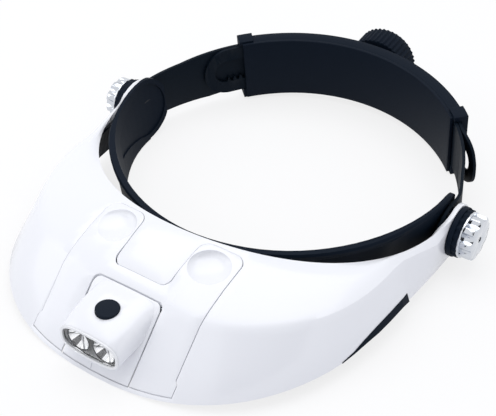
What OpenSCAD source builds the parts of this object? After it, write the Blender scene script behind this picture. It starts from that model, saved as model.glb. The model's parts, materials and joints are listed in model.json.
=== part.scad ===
// Lighted headband magnifier: a front band with a rear strap loop, a tilting visor with a twin lamp,
// two cells under a lift-off cover and a fold-down lens. The origin is on the table plane under the
// temple pivots, +Z is up, the visor points to -Y and the rear knob to +Y.

/* [Head band] */
// Half the inner width of the front band at the temples
band_half_w = 80.3; // [76:0.1:86]
// Distance from the temple pivots to the inside of the front band
band_depth = 74.7; // [71:0.1:77]
// Wall of the front band
band_wall = 2; // [1.6:0.1:2.6]
// Height of the front band's upper edge at the forehead
band_top = 28.5; // [25:0.1:30]
// How far the raised rim stands out along the upper edge
band_rim = 1.1; // [0.4:0.1:1.6]
// Radius of the round temple end of the band
lobe_r = 15.8; // [13:0.1:17]

/* [Temple pivots] */
// Height of the temple pivots above the table
pivot_z = 17.2; // [16:0.1:19]
// Radius of the temple bolts
bolt_r = 2.5; // [2:0.1:3]
// Radius of the scalloped temple knobs
knob_r = 10; // [8:0.1:12]
// Depth of the scalloped temple knobs
knob_h = 5.2; // [4:0.1:8]
// Number of scallops round a temple knob
knob_lobes = 9; // [6:1:12]

/* [Rear loop] */
// Backward lean of the rear loop in degrees
loop_lean = 7; // [5:0.5:9]
// Inner radius of the inner strap layer
strap_r = 81.5; // [80.5:0.1:82.5]
// Thickness of a strap
strap_t = 1.4; // [1:0.1:1.6]
// Width of a strap
strap_w = 26.8; // [24:0.2:28]
// Half the height of the toothed slot in a strap
slot_half = 6.5; // [6.4:0.1:7]
// Half the angle that the rear sleeve spans
sleeve_half_angle = 46; // [40:1:50]
// Wall of the rear sleeve's outer housing
housing_wall = 2.1; // [1.6:0.1:2.6]
// Radius of the rear knob
rear_knob_r = 15.8; // [15:0.1:19]
// Length of the rear knob
rear_knob_h = 12; // [11.8:0.1:18]

/* [Visor] */
// Half the width of the visor shell
visor_half_w = 86; // [85:0.1:88]
// Distance from the temple pivots to the visor's front lip
visor_reach = 140; // [138:0.5:144]
// Wall of the visor shell
visor_wall = 2; // [1.6:0.1:2.2]
// Height of the visor's front ridge
ridge_z = 26; // [25:0.1:28]
// Wall of the battery cover
cover_wall = 1.5; // [1.2:0.1:1.6]

/* [Lamp] */
// Half the width of the lamp panel
lamp_half_w = 16.6; // [16:0.1:17]
// Width of the lamp's clear window
window_w = 28.6; // [27:0.1:29]
// Height of the lamp's clear window
window_h = 14; // [12:0.1:14.2]
// Radius of the push button
button_r = 4.9; // [4:0.1:6]
// Mouth radius of a reflector cup
cup_r = 5.5; // [4:0.1:5.6]

/* [Cells and lens] */
// Radius of a cell
cell_r = 5.25; // [5:0.05:5.4]
// Length of a cell
cell_l = 44.5; // [43:0.5:45]
// Width of the magnifying lens
lens_w = 98; // [90:1:100]
// Depth of the magnifying lens
lens_d = 27; // [24:0.5:28]

/* [Hidden] */
$fn = 64;
eps = 0.01;
big = 400;
fit = 0.05;
gap = 0.3;
white = "whitesmoke";
black = "#1c222b";
steel = "silver";

// Temple stack, as distances from the middle plane
head_r = 4.2;
head_t = 1;
seat_x = 81.2;
seat_boss_r = 6.8;
head_x = seat_x - 0.6 - head_t;
washer_x = seat_x + 0.1;
friction_t = 0.7;
strap_x = seat_x + 1.3;
cheek_x = strap_x + strap_t + 0.55;
cheek_t = 0.85;
cheek_r = 9;
arm_x = cheek_x + cheek_t;
arm_t = visor_wall;
arm_washer_x = arm_x + arm_t;
arm_washer_t = 2.55;
ribbed_x = arm_washer_x + arm_washer_t;
ribbed_t = 2.3;
flange_x = ribbed_x + ribbed_t;
flange_t = 1;
knob_x = flange_x + flange_t;
bolt_end = knob_x + knob_h - 3;
knob_eye_r = 1.3;
arm_r = 12;
arm_washer_r = 11.3;
ribbed_r = 10.8;
rib_count = 18;

// Front band
band_power = 1.9;
band_lean = 3.5;
band_bottom = 1;
band_rise = 4.6;
band_step = 4;
band_last = 100;
lobe_y = -2.5;
lobe_z = pivot_z + 0.1;
lobe_border = 2.5;
recess_depth = 0.7;
recess_l = 36;
recess_end = 4;

// Rear loop: the ring frame has its axis through the head's centre
strap_pivot_y = 2.8;
strap_pivot_z = 22.5;
strap_z = 18;
layer_gap = gap;
outer_strap_r = strap_r + strap_t + layer_gap;
strap_end_r = 11.5;
bolt_play = 0.5;
flat_angle = 8;
layer_angle = 20;
free_angle = 61;
free_spring = 4.2;
spring_angle = 140;
spring_span = 12;
slot_far = 57;
slot_near = 25;
tooth_pitch = PI;
pitch_r = 5;
pinion_teeth = 10;
rack_r = (strap_r + outer_strap_r + strap_t) / 2;
tooth_angle = tooth_pitch / rack_r * 180 / PI;
liner_wall = 1.4;
liner_r = strap_r - gap - liner_wall;
rail_r = liner_r + liner_wall + fit;
housing_r = outer_strap_r + strap_t + gap;
housing_out = housing_r + housing_wall;
sleeve_top = strap_z + strap_w / 2 + gap + 1.7;
sleeve_bottom = 0;
collar_proud = 1;
collar_angle = 5;
screw_r = 0.9;
screw_cap_r = 1.7;
screw_head_h = 0.8;
screw_sink = 0.3;
screw_l = 6.3;
pivot_pin_r = 2;
pivot_skin = 0.5;
seat_r = 13;
seat_y = housing_out + 2.6;
shaft_r = 4;
brake_t = 0.5;
rear_knob_y = seat_y + brake_t + 0.1;
rear_ribs = 40;
knob_web_z = 8;
cap_r = rear_knob_r - 3.3;
cap_t = 1.6;
pilot_r = 1.5;
pilot_l = 1.5;
screw_head_r = 5;
screw_head_t = 2;
pinion_tooth = [[-1.8, 1.05], [0, 0.68], [0.9, 0.25]];
rack_root_half = 1.15;
rack_tip_half = 0.3;
full_width_y = [strap_r * 0.37, strap_r * 0.515];
pinion_y0 = liner_r + liner_wall + gap;
pinion_y1 = housing_r - 0.5;

// Visor: lip, ridge and rear edge are rounded curves over the same stations
shell_mid_y = -40;
shell_power = 2.5;
ridge_half_w = visor_half_w - 5.5;
ridge_y = visor_reach - 25.5;
rear_half_w = visor_half_w;
rear_reach = visor_reach - 58;
rear_z = 35.7;
rear_drop = 10.8;
rear_last = 78;
lip_rise = 6.2;
hook_z = 11;
arm_low_z = 6.2;
cheek_drop = 5;
cheek_gap = 0.2;
arm_front_y = -(arm_r + 6.5);
lip_share = 0.8;
station_count = 28;
arm_count = 10;
ridge_round = 4;
ridge_sink = 0.8;
upper_bulge = 1;
strip_h = 1.4;
cover_half_w = 35;
cover_rear_y = -(rear_reach + 3.5);
jog = 1.1;
jog_y = -(visor_reach - 9.5);
jog_l = visor_reach - rear_reach - 41.5;
ear_corner = 5;
ear_x = 19.2;
ear_y = -(rear_reach + 5);
ear_r = 5.2;
notch_x = 9.5;
notch_y = -(ridge_y - 11.3);
notch_l = ridge_y - rear_reach - 27.3;
notch_r = 4;
line_gap = 0.3;
tilt_gap = 0.55;
cover_lift = 0.2;
scoop_x = ear_x + 4.7;
scoop_y = -(rear_reach + 10.9);
scoop_z = rear_z - 2.2;
scoop_slope = 4;
scoop_r = 9.6;
scoop_depth = 3.6;
scoop_floor = 2.4;

// Lamp
lamp_rear_y = -(ridge_y - 1.1);
lamp_corner = 3;
window_y = -(visor_reach - 1);
window_z = 15.2;
window_t = 1.2;
bezel_t = 0.9;
bezel_rim = 1.2;
lamp_wall = 1;
lamp_top = ridge_z + 0.1;
button_y = -(visor_reach - 13);
lamp_axis_y = lamp_rear_y + 0.4;
lamp_axis_z = ridge_z - 3.6;
lamp_pin_r = 1;
lamp_pin_half = lamp_half_w - 0.6;
knuckle_x = lamp_half_w - 3.6;
knuckle_w = 4;
knuckle_r = 1.7;
dome_low_z = 11;
dome_fall = 3.9;
front_power = 3;
rear_power = 3.6;
dome_side = 0.9;
dome_steps = [0, 0.08, 0.2, 0.36, 0.58, 0.8, 1];
cup_x = 6.3;
cup_l = 6.4;
cup_y = window_y + window_t + 0.3;
board_t = 1.2;
board_y = cup_y + cup_l + 1.3;
board_z = window_z - 1.3;
board_w = window_w - 5.6;
board_h = 5.8;
board_l = 11;
led_r = 1.6;
led_l = 3.2;
cup_throat_r = 2.4;
switch_w = 6;
switch_d = 4.4;
switch_h = 5.4;
button_t = 2.6;
button_top = lamp_top + 0.1;
plunger_r = 1.5;

// Cells and lens
cell_x = 24.5;
cell_y = -(visor_reach - 37);
cell_z = 15.3;
cell_tilt = 24;
tray_wall = 0.9;
tray_end = 1;
web_y = cell_y + 2;
web_z = cell_z + 0.7;
web_d = 9;
web_t = 2;
boss_x = 7;
boss_y = cell_y + 6.5;
boss_h = ridge_z - web_z + 2.1;
boss_r = 2.6;
cell_tip_r = 1.9;
spring_r = 4;
spring_top_r = 2.6;
spring_wire = 0.3;
spring_turns = 3;
contact_w = 7.6;
spring_room = 2.4;
contact_t = 0.4;
hinge_y = -(visor_reach - 29.5);
hinge_z = 2.4;
holder_rim = 2.6;
bracket_x = lens_w / 2 + holder_rim + 0.4;
bracket_t = 2.4;
bracket_low = 0.4;
lens_t = 2.2;
holder_t = 3;
lens_pin_r = 1;
pin_in = 3;
lens_seat = 1.5;
lens_y = hinge_y + holder_rim - 0.5;

function side_sign(side) = side < 0 ? 1 : 0;
function unit(v) = v / norm(v);
function signed_pow(v, power) = sign(v) * pow(abs(v), power);
function oval(a, b, power, angle) =
    [a * pow(max(0, sin(angle)), 2 / power), -b * sign(cos(angle)) * pow(abs(cos(angle)), 2 / power)];
function blend(a, b, s) = a + (b - a) * s;
function smooth(s) = s <= 0 ? 0 : s >= 1 ? 1 : s * s * (3 - 2 * s);

// Frames
module ring_frame() {
    translate([0, 0, pivot_z]) rotate([loop_lean, 0, 0]) translate([0, -strap_pivot_y, -strap_pivot_z])
        children();
}

module temple(side, x = 0) {
    translate([0, 0, pivot_z]) rotate([0, side * 90, 0]) translate([0, 0, x]) children();
}

module flip(side) {
    mirror([side_sign(side), 0, 0]) children();
}

// Extrudes an outline drawn in y and z from x0 to x1
module side_plate(x0, x1) {
    translate([x0, 0, 0]) rotate([90, 0, 90]) linear_extrude(x1 - x0) children();
}

// Skin between two grids of points, closed round its rim
module skin(outer, inner) {
    rows = len(outer);
    cols = len(outer[0]);
    count = rows * cols;
    points = [for (grid = [outer, inner]) for (row = grid) for (p = row) p];
    faces = concat(
        [for (i = [0 : rows - 2]) for (j = [0 : cols - 2])
            each [[i * cols + j, i * cols + j + 1, (i + 1) * cols + j + 1],
                [i * cols + j, (i + 1) * cols + j + 1, (i + 1) * cols + j]]],
        [for (i = [0 : rows - 2]) for (j = [0 : cols - 2])
            each [[count + i * cols + j, count + (i + 1) * cols + j + 1, count + i * cols + j + 1],
                [count + i * cols + j, count + (i + 1) * cols + j, count + (i + 1) * cols + j + 1]]],
        [for (i = [0 : rows - 2])
            each [[i * cols, (i + 1) * cols, count + (i + 1) * cols],
                [i * cols, count + (i + 1) * cols, count + i * cols]]],
        [for (i = [0 : rows - 2]) let (e = cols - 1)
            each [[i * cols + e, count + (i + 1) * cols + e, (i + 1) * cols + e],
                [i * cols + e, count + i * cols + e, count + (i + 1) * cols + e]]],
        [for (j = [0 : cols - 2])
            each [[j, count + j, count + j + 1], [j, count + j + 1, j + 1]]],
        [for (j = [0 : cols - 2]) let (r = (rows - 1) * cols)
            each [[r + j, count + r + j + 1, count + r + j], [r + j, r + j + 1, count + r + j + 1]]]);
    polyhedron(points, faces, convexity = 6);
}

// Front band
function band_at(angle) = let (p = oval(band_half_w, band_depth, band_power, abs(angle)))
    [angle < 0 ? -p.x : p.x, p.y];
function band_out(angle) = let (p = band_at(angle))
    unit([sign(p.x) * pow(abs(p.x / band_half_w), band_power - 1) / band_half_w,
        sign(p.y) * pow(abs(p.y / band_depth), band_power - 1) / band_depth]);
function band_z(angle) = band_top + band_rise * smooth((abs(angle) - 20) / 75);
function band_point(angle, out, z) = let (p = band_at(angle) + out * band_out(angle)) [p.x, p.y, z];
function lean_at(angle, z) = -band_lean * (band_z(angle) - z) / (band_z(angle) - band_bottom);

module band_loop(sections) {
    rows = len(sections);
    cols = len(sections[0]);
    points = [for (row = sections) for (p = row) p];
    faces = concat(
        [for (i = [0 : rows - 2]) for (j = [0 : cols - 1]) let (k = (j + 1) % cols)
            each [[i * cols + j, i * cols + k, (i + 1) * cols + k],
                [i * cols + j, (i + 1) * cols + k, (i + 1) * cols + j]]],
        [[for (j = [cols - 1 : -1 : 0]) j], [for (j = [0 : cols - 1]) (rows - 1) * cols + j]]);
    polyhedron(points, faces, convexity = 6);
}

module band_wall_shape() {
    band_loop([for (a = [-band_last : band_step : band_last])
        let (z = band_z(a), rim = band_rim * (1 - smooth((abs(a) - 55) / 20)), w = band_wall) [
            band_point(a, lean_at(a, band_bottom), band_bottom),
            band_point(a, w + lean_at(a, band_bottom), band_bottom),
            band_point(a, w + lean_at(a, z - 4.4), z - 4.4),
            band_point(a, w + rim - 0.4, z - 3.2),
            band_point(a, w + rim, z - 1.2),
            band_point(a, w + rim - 0.5, z),
            band_point(a, 0, z)]]);
}

module band_inner_layer(depth) {
    band_loop([for (a = [60 : band_step : band_last + band_step]) [
        band_point(a, lean_at(a, band_bottom) - 3, band_bottom),
        band_point(a, lean_at(a, band_bottom) + depth, band_bottom),
        band_point(a, depth, band_z(a)),
        band_point(a, -3, band_z(a))]]);
}

module front_band() {
    color(black) difference() {
        union() {
            intersection() {
                band_wall_shape();
                union() {
                    translate([-big / 2, -big, -1]) cube([big, big + lobe_y, big]);
                    translate([-big / 2, lobe_y, lobe_z]) rotate([0, 90, 0]) cylinder(h = big, r = lobe_r);
                }
            }
            for (side = [-1, 1]) temple(side, head_x + 0.2)
                cylinder(h = seat_x - head_x - 0.2, r = seat_boss_r);
        }
        for (side = [-1, 1]) flip(side) intersection() {
            band_inner_layer(recess_depth);
            side_plate(10, big / 2) union() {
                translate([lobe_y, lobe_z]) circle(r = lobe_r - lobe_border);
                polygon([[lobe_y, lobe_z + lobe_r - lobe_border], [lobe_y - recess_l, lobe_z + recess_end],
                    [lobe_y - recess_l, lobe_z - recess_end], [lobe_y, lobe_z - lobe_r + lobe_border]]);
            }
        }
        for (side = [-1, 1]) temple(side, head_x) cylinder(h = head_t, r = head_r);
        for (side = [-1, 1]) temple(side, head_x) cylinder(h = big, r = bolt_r + fit);
    }
}

module bolt(side) {
    color(steel) {
        temple(side, head_x) cylinder(h = head_t, r = head_r);
        temple(side, head_x) cylinder(h = bolt_end - head_x, r = bolt_r);
    }
}

module temple_ring(side, x, thickness, r) {
    temple(side, x) difference() {
        cylinder(h = thickness, r = r);
        translate([0, 0, -1]) cylinder(h = thickness + 2, r = bolt_r + 2 * fit);
    }
}

module friction_washer(side) {
    color("dimgray") temple_ring(side, washer_x, friction_t, seat_boss_r);
}

module arm_washer(side) {
    color(black) temple_ring(side, arm_washer_x, arm_washer_t, arm_washer_r);
}

module ribbed_disc(r, depth, count, thickness) {
    linear_extrude(thickness) polygon([for (i = [0 : 4 * count - 1])
        let (a = 90 * i / count, d = i % 4 < 2 ? 0 : depth) (r - d) * [cos(a), sin(a)]]);
}

module ribbed_washer(side) {
    color(black) temple(side, ribbed_x) difference() {
        ribbed_disc(ribbed_r, 0.5, rib_count, ribbed_t);
        translate([0, 0, -1]) cylinder(h = ribbed_t + 2, r = bolt_r + 2 * fit);
    }
}

module flange(side) {
    color(steel) temple_ring(side, flange_x, flange_t, knob_r + 0.5);
}

module temple_knob(side) {
    scallop_r = knob_r * 0.26;
    color(steel) temple(side, knob_x) difference() {
        union() {
            cylinder(h = knob_h - 0.8, r = knob_r);
            translate([0, 0, knob_h - 0.8]) cylinder(h = 0.8, r1 = knob_r, r2 = knob_r - 0.8);
        }
        for (i = [0 : knob_lobes - 1]) rotate(360 * i / knob_lobes)
            translate([knob_r + scallop_r * 0.45, 0, -1]) cylinder(h = knob_h + 2, r = scallop_r);
        translate([0, 0, -1]) cylinder(h = bolt_end - knob_x + 1 + fit, r = bolt_r + fit);
        translate([0, 0, -1]) cylinder(h = knob_h + 2, r = knob_eye_r);
    }
}

// Rear loop
function strap_path_r(angle, layer_r) = angle <= flat_angle ? strap_x / cos(angle)
    : blend(strap_x / cos(flat_angle), layer_r, smooth((angle - flat_angle) / (layer_angle - flat_angle)))
        + (layer_r > strap_r ? free_spring * smooth((angle - spring_angle) / spring_span) : 0);

module arc_band(r0, r1, z0, z1, a0, a1) {
    rotate(a0) rotate_extrude(angle = a1 - a0, $fn = 128)
        translate([r0, z0]) square([r1 - r0, z1 - z0]);
}

// A cylinder whose axis is level and points outwards at an angle from the temple
module spoke(angle, z, r, r0, r1) {
    rotate(angle) translate([r0, 0, z]) rotate([0, 90, 0]) cylinder(h = r1 - r0, r = r);
}

module rack_tooth(r0, r1, angle, edge) {
    root = slot_half + 0.3;
    rotate(angle) translate([r0, 0, strap_z]) rotate([90, 0, 90]) linear_extrude(r1 - r0)
        polygon([[-rack_root_half, edge * root], [rack_root_half, edge * root],
            [rack_tip_half, edge * (pitch_r - 1)], [-rack_tip_half, edge * (pitch_r - 1)]]);
}

module strap(side, layer_r, edge) {
    free_centre = 90 + free_angle - asin(strap_w / 2 / layer_r);
    far_in = layer_r * 0.72;
    far_out = layer_r * 1.32;
    near_in = layer_r - 10;
    near_out = layer_r + strap_t + 10;
    arc_y = layer_r * 0.93;
    slot_a = 90 - slot_near;
    slot_b = 90 + slot_far - asin(slot_half / layer_r);
    first = -asin((strap_end_r - strap_pivot_y) / strap_x) - 1;
    angles = concat([for (a = [first : 2.1 : flat_angle]) a],
        [for (a = [flat_angle + 1 : 1 : layer_angle]) a],
        [for (a = [layer_angle + 2 : 2 : free_centre + 12]) a]);
    color(black) ring_frame() flip(side) {
        difference() {
            intersection() {
                linear_extrude(strap_z + strap_w) polygon(concat(
                    [for (a = angles) strap_path_r(a, layer_r) * [cos(a), sin(a)]],
                    [for (i = [len(angles) - 1 : -1 : 0]) let (a = angles[i])
                        (strap_path_r(a, layer_r) + strap_t) * [cos(a), sin(a)]]));
                union() {
                    arc_band(far_in, far_out, strap_z - strap_w / 2, strap_z + strap_w / 2, 60, free_centre);
                    spoke(free_centre, strap_z, strap_w / 2, far_in, far_out);
                    side_plate(0, far_out) polygon([[strap_pivot_y, strap_pivot_z + strap_end_r],
                        [full_width_y[0], strap_z + strap_w / 2], [arc_y, strap_z + strap_w / 2],
                        [arc_y, strap_z - strap_w / 2], [full_width_y[1], strap_z - strap_w / 2],
                        [strap_pivot_y, strap_pivot_z - strap_end_r]]);
                    translate([0, strap_pivot_y, strap_pivot_z]) rotate([0, 90, 0])
                        cylinder(h = far_out, r = strap_end_r);
                }
            }
            arc_band(near_in, near_out, strap_z - slot_half, strap_z + slot_half, slot_a, slot_b);
            spoke(slot_a, strap_z, slot_half, near_in - 2, near_out + 2);
            spoke(slot_b, strap_z, slot_half, near_in - 2, near_out + 2);
            translate([0, strap_pivot_y, strap_pivot_z]) rotate([0, 90, 0])
                cylinder(h = far_out + 10, r = bolt_r + bolt_play);
        }
        for (k = [-floor((90 - slot_a) / tooth_angle) : floor((slot_b - 90) / tooth_angle)])
            let (r = strap_path_r(90 + tooth_angle * k, layer_r))
                rack_tooth(r, r + strap_t, 90 + tooth_angle * k, edge);
    }
}

module sleeve_arc(r0, r1, z0, z1, half_angle) {
    arc_band(r0, r1, z0, z1, 90 - half_angle, 90 + half_angle);
}

module rear_axis(y) {
    translate([0, y, strap_z]) rotate([-90, 0, 0]) children();
}

// A screw's axis: it goes in from the housing's outer face towards the head
module screw_spot(side) {
    rotate(90 - side * 36) translate([housing_out, 0, sleeve_bottom + 2.2]) rotate([0, -90, 0]) children();
}

module liner_screw(side) {
    color(steel) ring_frame() screw_spot(side) {
        translate([0, 0, screw_sink]) cylinder(h = screw_head_h, r = screw_cap_r);
        translate([0, 0, screw_sink]) cylinder(h = screw_l, r = screw_r);
    }
}

module rear_liner() {
    color(black) ring_frame() difference() {
        sleeve_arc(liner_r, liner_r + liner_wall, sleeve_bottom, sleeve_top, sleeve_half_angle);
        for (side = [-1, 1]) screw_spot(side) cylinder(h = screw_sink + screw_l + fit, r = screw_r + fit);
        rear_axis(liner_r + pivot_skin) cylinder(h = liner_wall + 5, r = pivot_pin_r + fit);
    }
}

module rear_housing() {
    channel_top = strap_z + strap_w / 2 + gap;
    channel_low = strap_z - strap_w / 2 - gap;
    collar_mid = sleeve_half_angle - collar_angle / 2 + 1;
    color(black) ring_frame() difference() {
        union() {
            sleeve_arc(rail_r - 1, housing_out, sleeve_bottom, sleeve_top, sleeve_half_angle - 2);
            for (side = [-1, 1])
                arc_band(rail_r - 1.5, housing_out + collar_proud, sleeve_bottom - collar_proud,
                    sleeve_top + collar_proud, 90 + side * collar_mid - collar_angle / 2,
                    90 + side * collar_mid + collar_angle / 2);
            rear_axis(housing_r - 2) cylinder(h = seat_y - housing_r + 2, r = seat_r);
        }
        translate([0, 0, -5]) cylinder(h = sleeve_top + 10, r = rail_r, $fn = 128);
        sleeve_arc(rail_r - 3, housing_r, channel_low, channel_top, sleeve_half_angle + 6);
        rear_axis(liner_r - 10) cylinder(h = seat_y - liner_r + 20, r = shaft_r + 2 * fit);
        for (side = [-1, 1]) screw_spot(side) {
            translate([0, 0, -2]) cylinder(h = 2 + screw_sink + screw_head_h, r = screw_cap_r + fit);
            cylinder(h = housing_out - rail_r + 2, r = screw_r + fit);
        }
    }
}

module rear_knob() {
    color(black) ring_frame() rear_axis(rear_knob_y) difference() {
        union() {
            ribbed_disc(rear_knob_r, 0.6, rear_ribs, rear_knob_h - 1.2);
            cylinder(h = rear_knob_h, r = rear_knob_r - 1.4);
        }
        translate([0, 0, knob_web_z]) cylinder(h = rear_knob_h, r = cap_r - 1);
        translate([0, 0, rear_knob_h - cap_t]) cylinder(h = cap_t + 1, r = cap_r + fit);
        translate([0, 0, -1]) cylinder(h = rear_knob_h, r = shaft_r + fit);
    }
}

module knob_cap() {
    color(black) ring_frame() rear_axis(rear_knob_y + rear_knob_h - cap_t) cylinder(h = cap_t, r = cap_r);
}

module pinion() {
    top = rear_knob_y + knob_web_z;
    color("gainsboro") ring_frame() difference() {
        union() {
            rear_axis(pinion_y0) linear_extrude(pinion_y1 - pinion_y0) union() {
                circle(r = pitch_r - 1.3);
                for (i = [0 : pinion_teeth - 1]) rotate(90 + 360 * (i + 0.5) / pinion_teeth)
                    polygon(concat([for (p = pinion_tooth) [pitch_r + p.x, -p.y]],
                        [for (k = [2 : -1 : 0]) [pitch_r + pinion_tooth[k].x, pinion_tooth[k].y]]));
            }
            rear_axis(liner_r + pivot_skin + fit) cylinder(h = pinion_y0 - liner_r, r = pivot_pin_r);
            rear_axis(pinion_y1) cylinder(h = top - pinion_y1, r = shaft_r);
        }
        rear_axis(rear_knob_y - pilot_l - 0.5) cylinder(h = 20, r = pilot_r + fit);
    }
}

module pinion_screw() {
    top = rear_knob_y + knob_web_z;
    color(steel) ring_frame() {
        rear_axis(rear_knob_y - pilot_l) cylinder(h = top - rear_knob_y + pilot_l, r = pilot_r);
        rear_axis(top) cylinder(h = screw_head_t, r = screw_head_r);
    }
}

module knob_washer() {
    color("dimgray") ring_frame() rear_axis(seat_y) difference() {
        cylinder(h = brake_t, r = seat_r - 1);
        translate([0, 0, -1]) cylinder(h = brake_t + 2, r = shaft_r + 2 * fit);
    }
}

// Visor surface
function lip_angle(t) = min(90, t / lip_share * 90);
function past_lip(t) = max(0, (t - lip_share) / (1 - lip_share));
function lip_z(t) = let (a = lip_angle(t), rise = lip_rise * pow(sin(min(90, a * 90 / 62)), 1.4))
    t > lip_share + 0.02 ? arm_low_z : blend(rise, hook_z, smooth((a - 66) / 24));
function lip_at(t) = let (p = oval(visor_half_w, visor_reach + shell_mid_y, shell_power, lip_angle(t)))
    [blend(p.x, arm_x + arm_t, past_lip(t)),
        blend(p.y + shell_mid_y, arm_front_y, past_lip(t)), lip_z(t)];
function ridge_at(t) = let (p = oval(ridge_half_w, ridge_y + shell_mid_y, shell_power, lip_angle(t)))
    [blend(p.x, arm_x + arm_t - 0.3, past_lip(t)),
        blend(p.y + shell_mid_y, arm_front_y, past_lip(t)), blend(ridge_z, pivot_z + 5, past_lip(t))];
function rear_at(t) = let (a = t * rear_last)
    [rear_half_w * sin(a), -rear_reach * cos(a), rear_z - rear_drop * pow(sin(min(107, a * 90 / 73)), 2)];
function toward(a, b, d) = a + unit(b - a) * min(d, norm(b - a) * 0.4);
function shell_row(t, drop) =
    let (lip = lip_at(t) - [0, 0, drop * smooth((lip_angle(t) - 56) / 30) * (past_lip(t) > 0.1 ? 0 : 1)],
        top = ridge_at(t), rear = rear_at(t), low = toward(top, lip, ridge_round),
        bulge = [0, 0, upper_bulge * 0.8 * (1 - past_lip(t))],
        high = toward(top, rear, ridge_round)) [
        lip, blend(lip, low, 0.5), low, top - [0, 0, ridge_sink * (1 - past_lip(t))], high,
        blend(high, rear, 0.33) + bulge, blend(high, rear, 0.67) + bulge, rear];
function arm_row(k) =
    let (first = shell_row(1, 0), last = len(first) - 1, high0 = first[last].z, low0 = first[0].z,
        y = blend(arm_front_y, arm_r * 0.995, sin(90 * k / arm_count)), s = (y - arm_front_y) / -arm_front_y,
        half = sqrt(arm_r * arm_r - max(0, y) * max(0, y)),
        high = y > 0 ? pivot_z + half : blend(high0, pivot_z + half, s),
        low = y > 0 ? pivot_z - half : blend(low0, pivot_z - half, s))
    [for (p = first) [blend(p.x, arm_x + arm_t, smooth((y - arm_front_y) / 13)), y,
        low + (high - low) * (p.z - low0) / (high0 - low0)]];
function shell_grid(i0, i1, drop = 0) = [for (i = [i0 : i1])
    let (k = abs(i), over = k - station_count,
        row = over > 0 ? arm_row(over) : shell_row(k / station_count, drop))
    [for (p = row) [i < 0 ? -p.x : p.x, p.y, p.z]]];
function grid_normal(g, i, j) = let (rows = len(g), cols = len(g[0]),
    a = g[min(rows - 1, i + 1)][j] - g[max(0, i - 1)][j],
    b = g[i][min(cols - 1, j + 1)] - g[i][max(0, j - 1)]) unit(cross(a, b));
function grid_offset(g, d) = [for (i = [0 : len(g) - 1]) [for (j = [0 : len(g[0]) - 1])
    g[i][j] + d * grid_normal(g, i, j)]];
function level_lip(g, layer) = [for (i = [0 : len(g) - 1])
    concat([[layer[i][0].x, layer[i][0].y, g[i][0].z]], [for (j = [1 : len(g[0]) - 1]) layer[i][j]])];
function grid_rows(g, j0, j1) = [for (row = g) [for (j = [j0 : j1]) row[j]]];

// Layer of the visor between two depths below its outer surface
module visor_layer(outer_depth, inner_depth, last = station_count) {
    g = shell_grid(-last, last);
    skin(level_lip(g, grid_offset(g, -outer_depth)), level_lip(g, grid_offset(g, -inner_depth)));
}

// Plan outlines of the lamp panel and of the battery cover, grown by a margin
function curve_y(x, half_w, reach) = shell_mid_y
    - (reach + shell_mid_y) * pow(1 - pow(abs(x) / half_w, shell_power), 1 / shell_power);
function lip_front(x, m) = curve_y(x, visor_half_w, visor_reach) + strip_h - m;
function round_arc(c, r, a0, a1, n = 8) = [for (k = [0 : n]) c + r * [cos(blend(a0, a1, k / n)),
    sin(blend(a0, a1, k / n))]];

module lamp_plan(m, top_m) {
    w = lamp_half_w + m;
    r = lamp_corner;
    polygon(concat([for (x = [-w : w / 6 : w + eps]) [x, lip_front(x, m)]],
        round_arc([w - r, lamp_rear_y + top_m - r], r, 0, 90),
        round_arc([-w + r, lamp_rear_y + top_m - r], r, 90, 180)));
}

module cover_plan(m) {
    w = cover_half_w + m;
    half = concat(
        [for (x = [lamp_half_w : (w - lamp_half_w) / 5 : w + eps]) [x, lip_front(x, m)]],
        [[w, jog_y], [w - jog, jog_y + 1], [w - jog, jog_y + jog_l]],
        round_arc([cover_half_w - jog - ear_corner, cover_rear_y], ear_corner + m, 0, 80, 6),
        round_arc([ear_x, ear_y], ear_r + m, 95, 175, 6),
        [[notch_x + notch_r - m, notch_y + notch_l]],
        round_arc([notch_x - m, notch_y], notch_r - m, 0, -75, 5));
    polygon(concat([for (p = half) p], [for (k = [len(half) - 1 : -1 : 0]) [-half[k].x, half[k].y]]));
}

module lamp_region(m, top_m) {
    translate([0, 0, -5]) linear_extrude(rear_z + 20) lamp_plan(m, top_m);
}

module cover_region(m) {
    translate([0, 0, -5]) linear_extrude(rear_z + 20) cover_plan(m);
}

module visor_shell() {
    color(white) difference() {
        visor_layer(0, visor_wall, station_count + arm_count);
        lamp_region(line_gap, line_gap);
        cover_region(line_gap / 2);
        for (side = [-1, 1]) temple(side) cylinder(h = big, r = bolt_r + 2 * fit);
    }
}

module cheek(side) {
    first = floor(station_count * 0.47);
    g = shell_grid(first, station_count + arm_count, cheek_drop);
    color(black) flip(side) difference() {
        union() {
            skin(grid_rows(grid_offset(g, -visor_wall - cheek_gap), 0, 2),
                grid_rows(grid_offset(g, -visor_wall - cheek_t), 0, 2));
            temple(1, cheek_x + fit) cylinder(h = cheek_t - 3 * fit, r = cheek_r);
        }
        temple(1) cylinder(h = big, r = bolt_r + 2 * fit);
    }
}

module battery_cover() {
    color(white) difference() {
        union() {
            intersection() {
                visor_layer(-cover_lift, cover_wall - cover_lift);
                difference() {
                    cover_region(-line_gap / 2);
                    lamp_region(2 * line_gap, tilt_gap);
                }
            }
            intersection() {
                visor_layer(cover_wall / 2, cover_wall + scoop_floor);
                for (side = [-1, 1]) translate([side * scoop_x, scoop_y, scoop_z - 20])
                    cylinder(h = 40, r = scoop_r - 0.7);
            }
        }
        for (side = [-1, 1]) translate([side * scoop_x, scoop_y, scoop_z]) rotate([scoop_slope, 0, 0])
            scale([1, 1, scoop_depth / scoop_r]) sphere(r = scoop_r, $fn = 48);
    }
}

// Cells
module cell_frame(side) {
    translate([side * cell_x, cell_y, cell_z]) rotate([90 + cell_tilt, 0, 0]) children();
}

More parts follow.
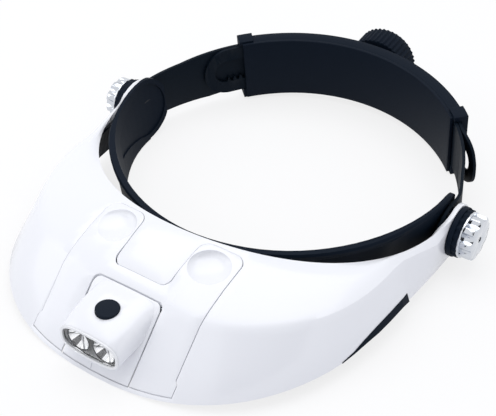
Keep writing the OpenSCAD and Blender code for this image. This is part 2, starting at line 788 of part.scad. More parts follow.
module cell(side) {
    body = cell_l - 1;
    color("dimgray") cell_frame(side) translate([0, 0, -cell_l / 2]) {
        cylinder(h = body, r = cell_r);
        cylinder(h = cell_l, r = cell_tip_r);
    }
}

module battery_holder() {
    bay_l = cell_l + spring_room + contact_t;
    out_r = cell_r + gap + tray_wall;
    color(black) difference() {
        union() {
            for (side = [-1, 1]) cell_frame(side)
                translate([0, 0, -cell_l / 2 - spring_room - tray_end])
                    cylinder(h = bay_l + 2 * tray_end, r = out_r);
            translate([-cell_x, web_y, web_z]) cube([2 * cell_x, web_d, web_t]);
            for (side = [-1, 1]) translate([side * boss_x, boss_y, web_z + web_t / 2])
                cylinder(h = boss_h, r = boss_r);
        }
        for (side = [-1, 1]) cell_frame(side) {
            translate([0, 0, -cell_l / 2 - spring_room]) cylinder(h = bay_l, r = cell_r + gap);
            translate([-out_r - 1, 0, -bay_l]) cube([2 * out_r + 2, out_r + 1, 2 * bay_l]);
        }
    }
}

module tube(path, r, sides) {
    count = len(path);
    function dir(i) = unit(path[min(count - 1, i + 1)] - path[max(0, i - 1)]);
    points = [for (i = [0 : count - 1]) let (d = dir(i), u = unit(cross(d, [0, 0, 1])), v = cross(d, u))
        for (k = [0 : sides - 1]) path[i] + r * (cos(360 * k / sides) * u + sin(360 * k / sides) * v)];
    faces = concat(
        [for (i = [0 : count - 2]) for (k = [0 : sides - 1]) let (m = (k + 1) % sides)
            each [[i * sides + k, (i + 1) * sides + m, i * sides + m],
                [i * sides + k, (i + 1) * sides + k, (i + 1) * sides + m]]],
        [[for (k = [0 : sides - 1]) k], [for (k = [sides - 1 : -1 : 0]) (count - 1) * sides + k]]);
    polyhedron(points, faces, convexity = 8);
}

module coil(side) {
    rise = spring_room - 2 * spring_wire;
    color(steel) cell_frame(side) translate([0, 0, -cell_l / 2 - spring_room + spring_wire])
        tube([for (a = [0 : 24 : 360 * spring_turns])
            let (s = a / 360 / spring_turns, r = blend(spring_r, spring_top_r, s))
            [r * cos(a), r * sin(a), rise * s]], spring_wire, 6);
}

module contact(side) {
    color(steel) cell_frame(side) translate([-contact_w / 2, -contact_w / 2, cell_l / 2])
        cube([contact_w, contact_w / 2, contact_t]);
}

// Lamp
module facing(y, z) {
    translate([0, y, z]) rotate([90, 0, 0]) children();
}

// Outline of the lamp's body: at a share of the way back from the window to the panel's rear edge
function dome_y(back) = blend(window_y + 0.2, lamp_rear_y - 1, back);
function dome_top(back) = lamp_top - dome_fall * pow(1 - back, 3);
function dome_low(back) = blend(window_z - window_h / 2, dome_low_z, back);

module lamp_outline(half_w, half_h, power = front_power) {
    polygon([for (a = [0 : 7.5 : 352.5]) [half_w * signed_pow(cos(a), 2 / power),
        half_h * signed_pow(sin(a), 2 / power)]]);
}

module lamp_dome(m, lead = 0) {
    hull() for (back = dome_steps) {
        half_h = (dome_top(back) - dome_low(back)) / 2 - m;
        half_w = window_w / 2 + dome_side * (1 - pow(1 - back, 2)) - m;
        y = dome_y(back) - (back == 0 ? lead : 0);
        facing(y, (dome_top(back) + dome_low(back)) / 2) linear_extrude(0.2)
            lamp_outline(half_w, half_h, blend(front_power, rear_power, back));
    }
}

module lamp_knuckle(r) {
    for (side = [-1, 1]) translate([side * knuckle_x - knuckle_w / 2, lamp_axis_y, lamp_axis_z])
        rotate([0, 90, 0]) cylinder(h = knuckle_w, r = r);
}

module lamp_housing() {
    color(white) difference() {
        union() {
            intersection() {
                visor_layer(0, visor_wall);
                lamp_region(-line_gap / 2, 0);
            }
            lamp_dome(0);
            lamp_knuckle(knuckle_r);
            for (side = [-1, 1])
                translate([side * knuckle_x - knuckle_w / 2, lamp_axis_y - knuckle_r, lamp_axis_z])
                    cube([knuckle_w, 1.8, knuckle_r]);
        }
        lamp_dome(lamp_wall, 1.5);
        translate([0, button_y, lamp_top - 4]) cylinder(h = 10, r = button_r + 0.15);
        translate([-lamp_pin_half - 2, lamp_axis_y, lamp_axis_z]) rotate([0, 90, 0])
            cylinder(h = 2 * lamp_pin_half + 4, r = lamp_pin_r + fit);
        translate([-board_w / 2 - 0.5, lamp_rear_y - 9, 0]) cube([board_w + 1, 12, lamp_top - 2.6]);
    }
}

module lamp_pin() {
    color(steel) translate([-lamp_pin_half, lamp_axis_y, lamp_axis_z]) rotate([0, 90, 0])
        cylinder(h = 2 * lamp_pin_half, r = lamp_pin_r);
}

module lamp_bezel() {
    color("white") facing(window_y, window_z) linear_extrude(bezel_t) difference() {
        lamp_outline(window_w / 2, window_h / 2);
        lamp_outline(window_w / 2 - bezel_rim, window_h / 2 - bezel_rim);
    }
}

module lamp_window() {
    color("lightcyan") facing(window_y + window_t, window_z) linear_extrude(window_t)
        lamp_outline(window_w / 2 - lamp_wall - gap, window_h / 2 - lamp_wall - gap);
}

module reflector(side) {
    color(steel) translate([side * cup_x, 0, 0]) difference() {
        facing(cup_y + cup_l, window_z) cylinder(h = cup_l, r1 = cup_throat_r, r2 = cup_r);
        facing(cup_y + cup_l - 0.6, window_z) cylinder(h = cup_l, r1 = cup_throat_r - 0.5, r2 = cup_r - 0.1);
        facing(cup_y + cup_l + 1, window_z) cylinder(h = 3, r = led_r + fit);
    }
}

module led(side) {
    color("ivory") translate([side * cup_x, 0, 0]) {
        facing(board_y, window_z) cylinder(h = led_l, r = led_r);
        translate([0, board_y - led_l, window_z]) sphere(r = led_r, $fn = 32);
    }
}

module led_board() {
    color("darkgreen") translate([-board_w / 2, board_y, board_z]) cube([board_w, board_t, board_h]);
}

module circuit_board() {
    color("darkgreen") translate([-board_w / 2, board_y + board_t, board_z])
        cube([board_w, board_l, board_t]);
}

module switch_body() {
    color(steel) translate([-switch_w / 2, board_y + board_t + 0.1, board_z + board_t])
        cube([switch_w, switch_d, switch_h]);
}

module button() {
    low = board_z + board_t + switch_h + 1.2;
    color(black) {
        translate([0, button_y, button_top - button_t]) cylinder(h = button_t, r = button_r);
        translate([0, button_y + 1, low]) cylinder(h = button_top - button_t + 0.2 - low, r = plunger_r);
    }
}

// Lens
// Height under the shell's front wall at a point of the plan
function under_shell(x, y) =
    let (low_z = 0.69 * lip_rise, low_y = curve_y(x, visor_half_w, visor_reach),
        slope = (ridge_z - low_z) / (curve_y(x, ridge_half_w, ridge_y) - low_y))
    low_z + slope * (y - low_y) - visor_wall * sqrt(1 + slope * slope) - gap;

module bracket(side) {
    x = bracket_x + bracket_t;
    color(black) flip(side) difference() {
        side_plate(bracket_x, x) polygon([[hinge_y - 4, bracket_low], [hinge_y + 5, bracket_low],
            [hinge_y + 5, under_shell(x, hinge_y + 5)], [hinge_y - 4, under_shell(x, hinge_y - 4)]]);
        translate([0, hinge_y, hinge_z]) rotate([0, 90, 0])
            cylinder(h = bracket_x + 20, r = lens_pin_r + fit);
    }
}

module lens_pin(side) {
    color(steel) flip(side) translate([bracket_x - pin_in, hinge_y, hinge_z]) rotate([0, 90, 0])
        cylinder(h = pin_in + bracket_t, r = lens_pin_r);
}

module lens_holder() {
    w = lens_w / 2 + holder_rim - 1;
    low = hinge_z - holder_t / 2;
    color(black) difference() {
        union() {
            translate([-w, hinge_y, low]) cube([2 * w, lens_d + 2 * holder_rim - 1, holder_t]);
            translate([-w, hinge_y, hinge_z]) rotate([0, 90, 0]) cylinder(h = 2 * w, r = holder_t / 2);
        }
        translate([-lens_w / 2, lens_y, low - 1]) cube([lens_w, lens_d, lens_t + 1]);
        translate([-lens_w / 2 + lens_seat, lens_y + lens_seat, low - 1])
            cube([lens_w - 2 * lens_seat, lens_d - 2 * lens_seat, holder_t + 2]);
        for (side = [-1, 1]) flip(side) translate([bracket_x - pin_in - 0.1, hinge_y, hinge_z])
            rotate([0, 90, 0]) cylinder(h = 20, r = lens_pin_r + fit);
    }
}

module lens() {
    color("aliceblue") translate([-lens_w / 2, lens_y, hinge_z - holder_t / 2])
        cube([lens_w, lens_d, lens_t]);
}

front_band();
bolt(-1);  // left_bolt
bolt(1);  // right_bolt
friction_washer(-1);  // left_friction_washer
friction_washer(1);  // right_friction_washer
rear_liner();
rear_housing();
liner_screw(-1);  // left_liner_screw
liner_screw(1);  // right_liner_screw
strap(-1, outer_strap_r, 1);  // left_strap
strap(1, strap_r, -1);  // right_strap
rear_knob();
knob_cap();
pinion();
pinion_screw();
knob_washer();
visor_shell();
cheek(-1);  // left_cheek
cheek(1);  // right_cheek
arm_washer(-1);  // left_arm_washer
arm_washer(1);  // right_arm_washer
ribbed_washer(-1);  // left_ribbed_washer
ribbed_washer(1);  // right_ribbed_washer
flange(-1);  // left_flange
flange(1);  // right_flange
temple_knob(-1);  // left_knob
temple_knob(1);  // right_knob
battery_holder();
cell(-1);  // left_cell
cell(1);  // right_cell
coil(-1);  // left_spring
coil(1);  // right_spring
contact(-1);  // left_contact
contact(1);  // right_contact
battery_cover();
lamp_housing();
lamp_pin();
lamp_bezel();
lamp_window();
reflector(-1);  // left_reflector
reflector(1);  // right_reflector
led(-1);  // left_led
led(1);  // right_led
led_board();
circuit_board();
switch_body();  // switch
button();
bracket(-1);  // left_bracket
bracket(1);  // right_bracket
lens_pin(-1);  // left_lens_pin
lens_pin(1);  // right_lens_pin
lens_holder();
lens();
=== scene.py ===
import json
import math

import bmesh
import bpy
from mathutils import Matrix, Vector


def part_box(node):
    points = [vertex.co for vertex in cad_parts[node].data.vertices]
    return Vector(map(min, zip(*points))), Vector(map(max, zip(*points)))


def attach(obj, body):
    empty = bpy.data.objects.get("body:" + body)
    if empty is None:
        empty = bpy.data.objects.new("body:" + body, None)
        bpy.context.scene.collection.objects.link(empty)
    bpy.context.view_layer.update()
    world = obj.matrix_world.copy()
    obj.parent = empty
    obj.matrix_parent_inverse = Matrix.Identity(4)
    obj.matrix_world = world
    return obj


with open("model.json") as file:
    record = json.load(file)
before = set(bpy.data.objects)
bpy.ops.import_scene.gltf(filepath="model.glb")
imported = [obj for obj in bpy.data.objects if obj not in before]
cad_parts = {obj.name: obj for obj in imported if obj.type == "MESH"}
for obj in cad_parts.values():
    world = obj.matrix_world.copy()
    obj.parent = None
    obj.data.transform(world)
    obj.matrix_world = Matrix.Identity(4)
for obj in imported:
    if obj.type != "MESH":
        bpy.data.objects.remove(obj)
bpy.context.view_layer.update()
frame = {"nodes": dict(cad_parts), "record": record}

nodes = frame["nodes"]
mm = 0.001


def hexToLinear(code):
    # sRGB hex such as "#f2f3f7" to the linear colour that shaders take
    parts = [int(code[i : i + 2], 16) / 255 for i in (1, 3, 5)]
    return [c / 12.92 if c <= 0.04045 else ((c + 0.055) / 1.055) ** 2.4 for c in parts] + [1.0]


def addNode(tree, kind, links=(), **settings):
    # adds one node; links are (input name or number, from node, output name)
    node = tree.nodes.new(kind)
    for name, value in settings.items():
        if hasattr(node, name):
            setattr(node, name, value)
        else:
            node.inputs[name.replace("_", " ")].default_value = value
    for name, source, output in links:
        tree.links.new(source.outputs[output], node.inputs[name])
    return node


def newMaterial(name, colour, roughness, metallic=0.0, ior=1.5, **sockets):
    material = bpy.data.materials.new(name)
    material.use_nodes = True
    shader = material.node_tree.nodes["Principled BSDF"]
    shader.inputs["Base Color"].default_value = hexToLinear(colour)
    shader.inputs["Roughness"].default_value = roughness
    shader.inputs["Metallic"].default_value = metallic
    shader.inputs["IOR"].default_value = ior
    for socket, value in sockets.items():
        shader.inputs[socket.replace("_", " ")].default_value = value
    return material


# fineness of the noise in every grain and in the patches of handling, and the part of its range that is used
grainNoise = {"detail": 2.0, "patchDetail": 3.0, "patchRoughness": 0.6, "low": 0.3, "high": 0.7}


def addGrain(material, grainMm, depthMm, roughnessSpread=0.0, stretch=(1, 1, 1), handlingMm=0):
    # surface grain of a given size: bump, and some spread in the roughness. Stretch draws the grain
    # out along an axis, as sanding or extrusion does, and handling adds broad patches of polish
    tree = material.node_tree
    shader = tree.nodes["Principled BSDF"]
    place = addNode(tree, "ShaderNodeTexCoord")
    mapping = addNode(tree, "ShaderNodeMapping", [("Vector", place, "Object")], Scale=stretch)
    noise = addNode(
        tree, "ShaderNodeTexNoise", [("Vector", mapping, "Vector")],
        Scale=1 / (grainMm * mm), Detail=grainNoise["detail"],
    )
    bump = addNode(tree, "ShaderNodeBump", [("Height", noise, "Fac")], Strength=1.0, Distance=depthMm * mm)
    tree.links.new(bump.outputs["Normal"], shader.inputs["Normal"])
    if roughnessSpread:
        middle = shader.inputs["Roughness"].default_value
        source = noise
        if handlingMm:
            source = addNode(
                tree, "ShaderNodeTexNoise", [("Vector", place, "Object")], Scale=1 / (handlingMm * mm),
                Detail=grainNoise["patchDetail"], Roughness=grainNoise["patchRoughness"],
            )
        spread = addNode(
            tree, "ShaderNodeMapRange", [("Value", source, "Fac")],
            From_Min=grainNoise["low"], From_Max=grainNoise["high"],
            To_Min=middle - roughnessSpread, To_Max=middle + roughnessSpread,
        )
        tree.links.new(spread.outputs["Result"], shader.inputs["Roughness"])
    return material


# white ABS, injection moulded in a polished tool: a clear gloss over a solid cool white
whiteAbs = newMaterial("whiteAbs", "#f0f1f5", 0.24, Coat_Weight=0.3, Coat_Roughness=0.06)
addGrain(whiteAbs, 2.5, 0.004, 0.04, handlingMm=30)
# the same white ABS along a parting line: rougher, and grey as painted shade of the fine ridge, so that the
# line shows
paintedShadeParting = addGrain(newMaterial("paintedShadeParting", "#b4b8c2", 0.6), 0.2, 0.004, 0.05)
# black ABS, moulded in a spark-eroded tool: a soft satin with a navy cast
blackAbs = addGrain(newMaterial("blackAbs", "#101925", 0.55, Specular_IOR_Level=0.06), 0.3, 0.005, 0.05)
# black polypropylene strap: slightly waxy, smoother than the ABS, drawn out along its length
strapPolypropylene = newMaterial("strapPolypropylene", "#0f1822", 0.52, ior=1.49, Specular_IOR_Level=0.06)
addGrain(strapPolypropylene, 0.6, 0.005, 0.05, stretch=(0.4, 0.4, 1.6))
# chrome-plated ABS: a mirror with a slight haze from the plating and fine rub marks
chromePlate = newMaterial("chromePlate", "#cdd1d8", 0.09, metallic=1.0)
addGrain(chromePlate, 1.2, 0.002, 0.04, handlingMm=4)
# turned plain steel: duller and greyer than the plating, marks run round the temple axis
turnedSteel = newMaterial("turnedSteel", "#a9adb3", 0.3, metallic=1.0)
addGrain(turnedSteel, 0.15, 0.003, 0.06, stretch=(4, 0.5, 0.5))
# dark, dull steel of the temple bolts: the dark colour is painted shade deep in the knob eyes, where the
# bolt ends show
paintedShadeSteel = addGrain(newMaterial("paintedShadeSteel", "#2b2e33", 0.45, metallic=1.0), 0.2, 0.003, 0.06)
# vacuum-metallised reflector: the brightest mirror, with the faint ripple of its moulding
metallisedCup = addGrain(newMaterial("metallisedCup", "#fafbfc", 0.03, metallic=1.0), 1.5, 0.002)
# black silicone rubber of the button: no gloss, fine talc-like tooth. The discs in the knob eyes and the
# rings round the cup mouths take the same black as painted shade
rubberAndShadeBlack = newMaterial("rubberAndShadeBlack", "#171f2a", 0.7, ior=1.41, Specular_IOR_Level=0.15)
addGrain(rubberAndShadeBlack, 0.12, 0.006, 0.06)
# clear polycarbonate window, with the faint ripple of a moulded pane. Its IOR is below the real 1.58,
# because the photographed pane shows next to no reflection
clearPolycarbonate = newMaterial("clearPolycarbonate", "#fdfdfe", 0.02, ior=1.28, Transmission_Weight=1.0)
addGrain(clearPolycarbonate, 4, 0.003)
# frosted clear rim round the window: lets light in and scatters some of it
clearRim = newMaterial("clearRim", "#fafbfd", 0.12, ior=1.49, Transmission_Weight=0.12, Coat_Weight=0.5)
addGrain(clearRim, 1.5, 0.002, 0.03)
# polished acrylic lens
polishedAcrylic = newMaterial("polishedAcrylic", "#f4f8fa", 0.02, ior=1.49, Transmission_Weight=1.0)
addGrain(polishedAcrylic, 8, 0.001)
# natural nylon gear: milky and matt
naturalNylon = addGrain(newMaterial("naturalNylon", "#dcd9cf", 0.5, ior=1.53), 0.4, 0.005, 0.05)
# vulcanised fibre friction washer: paper-like grain
vulcanFibre = addGrain(newMaterial("vulcanFibre", "#343436", 0.8), 0.2, 0.02, 0.05)
# lacquered steel cell jacket
cellLacquer = addGrain(newMaterial("cellLacquer", "#4a4e55", 0.3, metallic=0.4), 0.5, 0.002, 0.04)
# phosphor-coated diode: a pale yellow gel
phosphorDiode = addGrain(newMaterial("phosphorDiode", "#f3e6a8", 0.3), 0.1, 0.004)
# glass-epoxy board under green solder mask: the weave shows through
solderMask = addGrain(newMaterial("solderMask", "#1d5a34", 0.35), 0.5, 0.004, 0.05)

finishes = {
    "white_shell": whiteAbs,
    "black_shell": blackAbs,
    "black_strap": strapPolypropylene,
    "friction_fibre": vulcanFibre,
    "chrome_plate": chromePlate,
    "plain_steel": turnedSteel,
    "pinion_nylon": naturalNylon,
    "button_rubber": rubberAndShadeBlack,
    "clear_window": clearPolycarbonate,
    "clear_lens": polishedAcrylic,
    "cell_jacket": cellLacquer,
    "led_body": phosphorDiode,
    "board": solderMask,
    "switch_case": turnedSteel,
}
# nodes whose finish differs from the rest of their slot
ownFinishes = {
    "left_reflector": metallisedCup, "right_reflector": metallisedCup,
    # the bolts are dark as painted shade in the knob eyes
    "left_bolt": paintedShadeSteel, "right_bolt": paintedShadeSteel,
    "lamp_bezel": clearRim,
}
slotOf = {part["node"]: part["material_slot"] for part in frame["record"]["subparts"]}
for name, piece in nodes.items():
    piece.data.materials.clear()
    piece.data.materials.append(ownFinishes.get(name, finishes[slotOf[name]]))
# light goes straight through the clear pieces, where a thick glass would hold it back
for name in ("lamp_window", "lens"):
    nodes[name].visible_shadow = False
print("finishes laid on")


# Softened edges on the moulded and turned pieces: the width of each piece's bevel in mm, and what they share
edgeRounding = {
    "front_band": 0.35, "visor_shell": 0.15, "battery_cover": 0.1, "lamp_housing": 0.1, "lamp_bezel": 0.3,
    "rear_housing": 0.3, "rear_liner": 0.25, "rear_knob": 0.25, "knob_cap": 0.2,
    "left_strap": 0.2, "right_strap": 0.2,
    "left_arm_washer": 0.4, "right_arm_washer": 0.4, "left_knob": 0.35, "right_knob": 0.35,
    "left_flange": 0.2, "right_flange": 0.2, "left_ribbed_washer": 0.12, "right_ribbed_washer": 0.12,
    "button": 0.4,
}
softening = {"weldMm": 0.01, "segments": 2, "bevelAbove": 28, "creaseAbove": 40}  # the last two in degrees


def softenEdges(piece, width):
    weld = piece.modifiers.new("weld", "WELD")
    weld.merge_threshold = softening["weldMm"] * mm
    bevel = piece.modifiers.new("bevel", "BEVEL")
    bevel.width = width * mm
    bevel.segments = softening["segments"]
    bevel.limit_method = "ANGLE"
    bevel.angle_limit = math.radians(softening["bevelAbove"])
    bevel.use_clamp_overlap = True
    split = piece.modifiers.new("split", "EDGE_SPLIT")
    split.split_angle = math.radians(softening["creaseAbove"])
    piece.data.polygons.foreach_set("use_smooth", [True] * len(piece.data.polygons))


for name, width in edgeRounding.items():
    softenEdges(nodes[name], width)
print("edges softened")


def newPiece(name, shape, material):
    # turns a finished bmesh into an object of the scene
    mesh = bpy.data.meshes.new(name)
    shape.to_mesh(mesh)
    shape.free()
    mesh.materials.append(material)
    piece = bpy.data.objects.new(name, mesh)
    bpy.context.collection.objects.link(piece)
    return piece


def roundOff(shape, edges, width, segments=2, clamp=False):
    bmesh.ops.bevel(
        shape, geom=edges, offset=width, affect="EDGES", segments=segments, profile=0.5, material=-1,
        clamp_overlap=clamp,
    )


def closedLoop(shape, points):
    # vertices at the points, and the edges that join each to the next and the last to the first
    corners = [shape.verts.new(point) for point in points]
    edges = [shape.edges.new(pair) for pair in zip(corners, corners[1:] + corners[:1])]
    return corners, edges


# Black discs in the eyes of the temple knobs, which paint the shade deep in each eye, in mm, a little below
# the knob's outer face
eyeShadeSizes = {"radius": 1.26, "below": 0.02, "height": 1.6, "bevel": 0.25, "bevelSegments": 3, "sides": 32}


def addEyeShade(side, outward):
    knobLow, knobHigh = (Vector(corner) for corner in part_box(side + "_knob"))
    middle = (knobLow + knobHigh) / 2
    face = knobHigh.x if outward > 0 else knobLow.x
    eyeShade = bmesh.new()
    bmesh.ops.create_cone(
        eyeShade, cap_ends=True, segments=eyeShadeSizes["sides"], radius1=eyeShadeSizes["radius"] * mm,
        radius2=eyeShadeSizes["radius"] * mm, depth=eyeShadeSizes["height"] * mm,
    )
    rimEdges = [edge for edge in eyeShade.edges if all(vert.co.z > 0 for vert in edge.verts)]
    roundOff(eyeShade, rimEdges, eyeShadeSizes["bevel"] * mm, eyeShadeSizes["bevelSegments"])
    turn = Matrix.Rotation(math.radians(90 * outward), 4, "Y")
    depth = (eyeShadeSizes["below"] + eyeShadeSizes["height"] / 2) * mm
    place = Matrix.Translation((face - outward * depth, middle.y, middle.z))
    bmesh.ops.transform(eyeShade, matrix=place @ turn, verts=eyeShade.verts)
    # the black disc is painted shade in the knob's eye
    piece = newPiece(side + "KnobEyeShade", eyeShade, rubberAndShadeBlack)
    polygons = piece.data.polygons
    polygons.foreach_set("use_smooth", [len(polygon.vertices) == 4 for polygon in polygons])
    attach(piece, "temple_" + side)


# painted shade in the eyes of both knobs
addEyeShade("left", -1)
addEyeShade("right", 1)
print("knob plugs set")


# Thin linings behind the upper inner wall of each thumb scoop, which close the slit under its edge.
# The scoop is part of a flattened sphere, and the lining is a shell just behind it, cut off at top,
# bottom, front and outer side. All in mm from the scoop's centre, the slope in degrees
scoopLining = {
    "centre": (23.9, -92.9, 33.5), "radius": 9.6, "depth": 3.6, "slope": 4,
    "behind": 0.1, "wall": 0.12, "top": -0.9, "bottom": -2.2, "front": 4.5, "outer": 2.0,
    "meridians": 96, "parallels": 64,
}


def addScoopLining(name, side):
    shape = scoopLining
    lining = bmesh.new()
    bmesh.ops.create_uvsphere(lining, u_segments=shape["meridians"], v_segments=shape["parallels"], radius=1)
    wide, deep = shape["radius"] + shape["behind"], shape["depth"] + shape["behind"]
    bmesh.ops.scale(lining, vec=(wide, wide, deep), verts=lining.verts)
    cuts = (
        ((0, 0, shape["top"]), (0, 0, 1)), ((0, 0, shape["bottom"]), (0, 0, -1)),
        ((0, shape["front"], 0), (0, -1, 0)), ((side * shape["outer"], 0, 0), (side, 0, 0)),
    )
    for place, normal in cuts:
        everything = lining.verts[:] + lining.edges[:] + lining.faces[:]
        bmesh.ops.bisect_plane(lining, geom=everything, plane_co=place, plane_no=normal, clear_outer=True)
    bmesh.ops.solidify(lining, geom=lining.faces[:], thickness=shape["wall"])
    bmesh.ops.recalc_face_normals(lining, faces=lining.faces[:])
    across, along, up = shape["centre"]
    turn = Matrix.Rotation(math.radians(shape["slope"]), 4, "X")
    place = Matrix.Scale(mm, 4) @ Matrix.Translation((side * across, along, up)) @ turn
    bmesh.ops.transform(lining, matrix=place, verts=lining.verts)
    piece = newPiece(name, lining, whiteAbs)
    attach(piece, "cover")


addScoopLining("leftScoopLining", -1)
addScoopLining("rightScoopLining", 1)
print("scoops lined")


# Black rings between the window and the mouths of the two cups, which paint the shade in the gap round each
# cup's rim, in mm
cupMouthShade = {
    "apart": 6.3, "front": -137.77, "height": 15.2,
    "inner": 5.15, "outer": 5.6, "thick": 0.24, "steps": 72,
}


def addCupMouthShade(name, side):
    inner, outer, thick = cupMouthShade["inner"], cupMouthShade["outer"], cupMouthShade["thick"]
    shadeRing = bmesh.new()
    corners, rim = closedLoop(shadeRing, ((inner, 0, 0), (outer, 0, 0), (outer, 0, thick), (inner, 0, thick)))
    bmesh.ops.spin(
        shadeRing, geom=corners + rim, cent=(0, 0, 0), axis=(0, 0, 1), angle=math.radians(360),
        steps=cupMouthShade["steps"], use_merge=True,
    )
    bmesh.ops.recalc_face_normals(shadeRing, faces=shadeRing.faces[:])
    turn = Matrix.Rotation(math.radians(-90), 4, "X")
    place = Matrix.Translation((side * cupMouthShade["apart"], cupMouthShade["front"], cupMouthShade["height"])) @ turn
    bmesh.ops.transform(shadeRing, matrix=Matrix.Scale(mm, 4) @ place, verts=shadeRing.verts)
    # the black ring is painted shade in the gap round the cup's rim
    piece = newPiece(name, shadeRing, rubberAndShadeBlack)
    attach(piece, "lamp")


# painted shade round the mouths of both cups
addCupMouthShade("leftCupMouthShade", -1)
addCupMouthShade("rightCupMouthShade", 1)
print("cup seals set")


# Parting line of the mould on the lamp panel, from the window's lower edge down to the panel's edge, in mm.
# Its grey is painted shade along the ridge
mouldLine = {
    "top": (-2.0, -136.9, 3.17), "bottom": (-1.58, -138.38, 1.69),
    "width": 0.2, "height": 0.16, "bevel": 0.05,
}
upper, lower = Vector(mouldLine["top"]), Vector(mouldLine["bottom"])
line = bmesh.new()
bmesh.ops.create_cube(line, size=1)
lineSize = (mouldLine["width"], mouldLine["height"], (upper - lower).length)
bmesh.ops.scale(line, vec=lineSize, verts=line.verts)
roundOff(line, line.edges[:], mouldLine["bevel"])
lineTurn = (upper - lower).to_track_quat("Z", "Y").to_matrix().to_4x4()
linePlace = Matrix.Scale(mm, 4) @ Matrix.Translation((upper + lower) / 2) @ lineTurn
bmesh.ops.transform(line, matrix=linePlace, verts=line.verts)
# the grey material paints the shade along the ridge
linePiece = newPiece("lampMouldLine", line, paintedShadeParting)
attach(linePiece, "lamp")
print("mould line set")


# Black edging along the lower edge of each visor arm. It shows the cheek, which lies too far in to be
# seen there. Each row is a station, in mm: along, across and height of the shell's edge, then how far
# the edging goes up and down from it. Lean is how far the shell's side runs out for each mm down
edging = {
    "stations": (
        (-85.0, 81.12, 6.33, 0.3, 0.05), (-78.5, 82.74, 7.02, 0.8, 0.1), (-71.5, 84.05, 8.1, 1.6, 0.4),
        (-63.9, 85.03, 9.3, 1.7, 1.35), (-55.6, 85.67, 10.33, 1.3, 2.0), (-45.7, 85.97, 10.94, 0.8, 2.6),
        (-40.0, 86.34, 7.8, 3.0, 1.0),
    ),
    "lean": 0.37, "proud": 0.16, "thick": 0.8, "bevel": 0.06,
}


def addEdging(name, side):
    lean, proud, thick = edging["lean"], edging["proud"], edging["thick"]
    strip = bmesh.new()
    loops = []
    for along, across, height, up, down in edging["stations"]:
        topAcross, top = across - lean * up + proud, height + up
        bottomAcross, bottom = across + lean * down + proud, height - down
        section = (
            (side * topAcross, along, top), (side * bottomAcross, along, bottom),
            (side * (bottomAcross - thick), along, bottom), (side * (topAcross - thick), along, top),
        )
        loops.append(closedLoop(strip, section)[1])
    for first, second in zip(loops, loops[1:]):
        bmesh.ops.bridge_loops(strip, edges=first + second)
    bmesh.ops.holes_fill(strip, edges=loops[0] + loops[-1])
    bmesh.ops.recalc_face_normals(strip, faces=strip.faces[:])
    roundOff(strip, strip.edges[:], edging["bevel"], clamp=True)
    bmesh.ops.scale(strip, vec=(mm, mm, mm), verts=strip.verts)
    piece = newPiece(name, strip, blackAbs)
    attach(piece, "visor")


addEdging("leftArmEdging", -1)
addEdging("rightArmEdging", 1)
print("arm edgings set")


# Studio, in metres and watts: a white table and sky, a broad ceiling light, a weaker light from the
# left, and a black card on the right. Table and sky are whiter where they are seen than in the light
# that they give to the object
studio = {
    "ceilingEnergy": 3.9, "ceilingSize": 0.9, "ceilingPlace": (-0.12, 0.1, 0.9),
    "sideEnergy": 1.1, "sideSize": 0.6, "sidePlace": (-0.8, -0.5, 0.5),
    "lightsAim": (0, -0.03, 0),
    "flagSize": 0.6, "flagPlace": (0.36, -0.36, 0.46),
    "skyColour": "#eceef4", "skyStrength": 0.8,
    "tableColour": "#f6f6f8", "tableSize": 6.0, "tableWhiteShare": 0.78,
}


def turnTo(direction):
    return Vector(direction).to_track_quat("-Z", "Y").to_euler()


def addArea(name, energy, size, place):
    data = bpy.data.lights.new(name, "AREA")
    data.energy = energy
    data.size = size
    lamp = bpy.data.objects.new(name, data)
    lamp.location = place
    lamp.rotation_euler = turnTo(Vector(studio["lightsAim"]) - Vector(place))
    bpy.context.collection.objects.link(lamp)


def addSheet(name, size, material):
    sheet = bmesh.new()
    bmesh.ops.create_grid(sheet, x_segments=1, y_segments=1, size=size / 2)
    return newPiece(name, sheet, material)


def seenRay(tree):
    # 1 for a ray from the camera, a mirror or through glass, 0 for a ray that lights a surface
    path = addNode(tree, "ShaderNodeLightPath")
    straight = addNode(
        tree, "ShaderNodeMath", [(0, path, "Is Camera Ray"), (1, path, "Is Transmission Ray")],
        operation="MAXIMUM",
    )
    return addNode(
        tree, "ShaderNodeMath", [(0, straight, "Value"), (1, path, "Is Glossy Ray")], operation="MAXIMUM"
    )


addArea("ceilingLight", studio["ceilingEnergy"], studio["ceilingSize"], studio["ceilingPlace"])
addArea("leftLight", studio["sideEnergy"], studio["sideSize"], studio["sidePlace"])

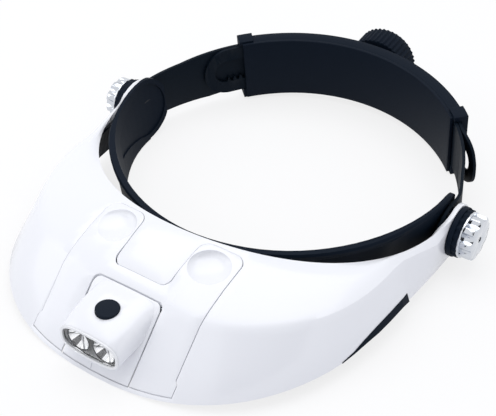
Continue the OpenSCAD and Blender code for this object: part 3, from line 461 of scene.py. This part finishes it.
world = bpy.data.worlds.new("studioWorld")
world.use_nodes = True
bpy.context.scene.world = world
skyTree = world.node_tree
skyTree.nodes.clear()
seen = seenRay(skyTree)
skyLight = addNode(
    skyTree, "ShaderNodeBackground", Color=hexToLinear(studio["skyColour"]), Strength=studio["skyStrength"]
)
whiteBack = addNode(skyTree, "ShaderNodeBackground", Color=(1, 1, 1, 1), Strength=1.0)
skyMix = addNode(
    skyTree, "ShaderNodeMixShader",
    [("Fac", seen, "Value"), (1, skyLight, "Background"), (2, whiteBack, "Background")],
)
addNode(skyTree, "ShaderNodeOutputWorld", [("Surface", skyMix, "Shader")])

tablePaint = bpy.data.materials.new("tablePaint")
tablePaint.use_nodes = True
tableTree = tablePaint.node_tree
tableTree.nodes.clear()
tableMatt = addNode(tableTree, "ShaderNodeBsdfDiffuse", Color=hexToLinear(studio["tableColour"]))
tableWhite = addNode(tableTree, "ShaderNodeEmission", Color=(1, 1, 1, 1), Strength=1.0)
tableShare = addNode(tableTree, "ShaderNodeMath", [(0, seenRay(tableTree), "Value")], operation="MULTIPLY")
tableShare.inputs[1].default_value = studio["tableWhiteShare"]
tableMix = addNode(
    tableTree, "ShaderNodeMixShader",
    [("Fac", tableShare, "Value"), (1, tableMatt, "BSDF"), (2, tableWhite, "Emission")],
)
addNode(tableTree, "ShaderNodeOutputMaterial", [("Surface", tableMix, "Shader")])
tableTop = addSheet("studioTable", studio["tableSize"], tablePaint)

# the card stands behind the camera, and only mirrors and glass see it: it gives the chrome and the
# lamp's cups their dark parts
flag = addSheet("studioFlag", studio["flagSize"], newMaterial("flagCloth", "#101114", 0.9))
flag.location = studio["flagPlace"]
flag.rotation_euler = turnTo(-Vector(studio["flagPlace"]))
for kind in ("camera", "diffuse", "shadow"):
    setattr(flag, "visible_" + kind, False)
print("studio set")

# Camera at the photograph's angle, with no roll and no shift, in metres, degrees and mm of lens
photoCamera = {
    "place": (0.22108, -0.35880, 0.33371),
    "pitch": 50.762, "azimuth": 33.92,
    "lens": 82.83, "sensor": 36.0, "nearest": 0.01,
}
cameraData = bpy.data.cameras.new("photoCamera")
cameraData.lens = photoCamera["lens"]
cameraData.sensor_width = photoCamera["sensor"]
cameraData.clip_start = photoCamera["nearest"]
camera = bpy.data.objects.new("photoCamera", cameraData)
camera.location = photoCamera["place"]
camera.rotation_euler = (math.radians(photoCamera["pitch"]), 0, math.radians(photoCamera["azimuth"]))
bpy.context.collection.objects.link(camera)
bpy.context.scene.camera = camera
bpy.context.scene.view_settings.view_transform = "Standard"
print("camera placed")
